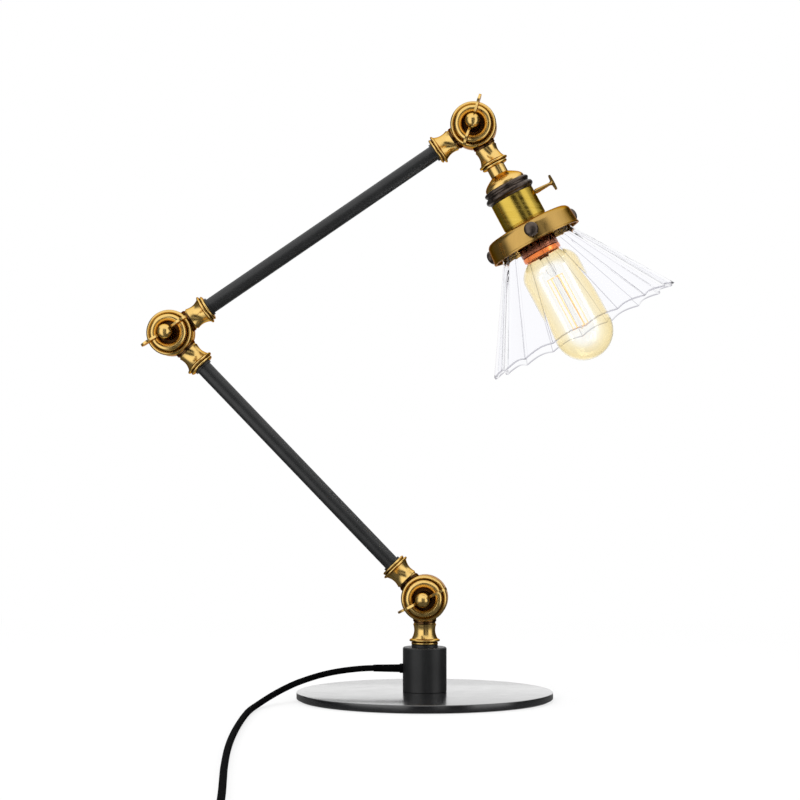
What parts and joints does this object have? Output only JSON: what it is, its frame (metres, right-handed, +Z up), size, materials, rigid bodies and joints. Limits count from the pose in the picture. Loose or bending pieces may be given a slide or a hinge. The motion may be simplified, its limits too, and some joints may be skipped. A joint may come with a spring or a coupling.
{
  "type": "accordion desk lamp",
  "caption": "Articulated table lamp: round base, column, tube arms on knuckle joints with wing screws, and a brass socket with a fluted glass cone shade over a tubular bulb.",
  "frame": {"origin": "centre of the base's underside", "axes": "+Z up, +X towards the side the head hangs over, -Y towards the side of the wing screws; the arms lie in the XZ plane"},
  "size_m": [0.3936, 0.793, 0.4475],
  "materials": {
    "felt": "matte",
    "black_gloss_enamel": "gloss",
    "black_satin_enamel": "satin",
    "zinc_steel": "satin",
    "black_cord": "satin",
    "tie_strap": "matte",
    "black_plug": "satin",
    "blade_brass": "satin",
    "antique_brass": "satin",
    "fibre_washer": "matte",
    "dark_bronze": "satin",
    "polished_brass": "satin",
    "porcelain": "gloss",
    "clear_glass": "gloss",
    "amber_glass": "gloss",
    "mount_glass": "gloss",
    "copper_cap": "satin",
    "filament": "satin"
  },
  "bodies": {
    "base": {"base_pad": "felt", "base_plate": "black_gloss_enamel", "base_nut": "zinc_steel", "column": "black_satin_enamel", "column_rod": "zinc_steel", "column_washer": "black_satin_enamel", "strain_relief": "black_cord", "base_lead": "black_cord", "cord_run": "black_cord", "cord_coil": "black_cord", "cord_tie": "tie_strap", "plug_body": "black_plug", "plug_blades": "blade_brass", "knuckle1_front": "antique_brass", "knuckle1_washer": "fibre_washer"},
    "lower_wing": {"wing_screw1": "antique_brass"},
    "lower_arm": {"knuckle1_rear": "antique_brass", "knuckle1_nut": "antique_brass", "lower_end_washers": "black_satin_enamel", "lower_nipples": "zinc_steel", "lower_tube": "black_satin_enamel", "lower_lead": "black_cord", "knuckle2_front": "antique_brass", "knuckle2_washer": "fibre_washer"},
    "middle_wing": {"wing_screw2": "antique_brass"},
    "upper_arm": {"knuckle2_rear": "antique_brass", "knuckle2_nut": "antique_brass", "upper_end_washers": "black_satin_enamel", "upper_nipples": "zinc_steel", "upper_tube": "black_satin_enamel", "upper_lead": "black_cord", "knuckle3_front": "antique_brass", "knuckle3_washer": "fibre_washer"},
    "upper_wing": {"wing_screw3": "antique_brass"},
    "head": {"knuckle3_rear": "antique_brass", "knuckle3_nut": "antique_brass", "head_nipple": "zinc_steel", "head_lead": "black_cord", "socket_cap": "antique_brass", "socket_ring": "dark_bronze", "socket_shell": "polished_brass", "socket_insulator": "porcelain", "screw_shell": "polished_brass", "centre_contact": "polished_brass", "shade_holder": "antique_brass", "holder_ring": "dark_bronze", "shade": "clear_glass"},
    "switch": {"switch_key": "antique_brass"},
    "front_thumb_screw": {"shade_screw1": "dark_bronze"},
    "left_thumb_screw": {"shade_screw2": "dark_bronze"},
    "right_thumb_screw": {"shade_screw3": "dark_bronze"},
    "bulb": {"bulb_cap": "copper_cap", "bulb_glass": "amber_glass", "bulb_mount": "mount_glass", "bulb_filament": "filament"}
  },
  "joints": [
    {"name": "lower_hinge", "type": "hinge", "parent": "base", "child": "lower_arm", "pos_m": [0, 0, 0.0755], "axis": [0, -1, 0], "range_deg": [-60, 30]},
    {"name": "middle_hinge", "type": "hinge", "parent": "lower_arm", "child": "upper_arm", "pos_m": [-0.19145, 0, 0.27375], "axis": [0, -1, 0], "range_deg": [-18, 135]},
    {"name": "upper_hinge", "type": "hinge", "parent": "upper_arm", "child": "head", "pos_m": [0.03677, 0, 0.42826], "axis": [0, 1, 0], "range_deg": [-140, 22]},
    {"name": "lower_wing_turn", "type": "hinge", "parent": "base", "child": "lower_wing", "pos_m": [0, 0, 0.0755], "axis": [0, -1, 0], "range_deg": [0, 180]},
    {"name": "middle_wing_turn", "type": "hinge", "parent": "lower_arm", "child": "middle_wing", "pos_m": [-0.19145, 0, 0.27375], "axis": [0, -1, 0], "range_deg": [0, 180]},
    {"name": "upper_wing_turn", "type": "hinge", "parent": "upper_arm", "child": "upper_wing", "pos_m": [0.03677, 0, 0.42826], "axis": [0, -1, 0], "range_deg": [0, 180]},
    {"name": "switch_turn", "type": "hinge", "parent": "head", "child": "switch", "pos_m": [0.06752, 0, 0.37043], "axis": [0.8829, 0, 0.4695], "continuous": true},
    {"name": "front_thumb_turn", "type": "hinge", "parent": "head", "child": "front_thumb_screw", "pos_m": [0.08005, -0.035, 0.34685], "axis": [0, -1, 0], "range_deg": [0, 360]},
    {"name": "left_thumb_turn", "type": "hinge", "parent": "head", "child": "left_thumb_screw", "pos_m": [0.05329, 0.0175, 0.33262], "axis": [-0.7647, 0.5, -0.4066], "range_deg": [0, 360]},
    {"name": "right_thumb_turn", "type": "hinge", "parent": "head", "child": "right_thumb_screw", "pos_m": [0.10681, 0.0175, 0.36108], "axis": [0.7647, 0.5, 0.4066], "range_deg": [0, 360]},
    {"name": "bulb_turn", "type": "hinge", "parent": "head", "child": "bulb", "pos_m": [0.08371, 0, 0.33997], "axis": [0.4695, 0, -0.8829], "range_deg": [0, 180]}
  ]
}
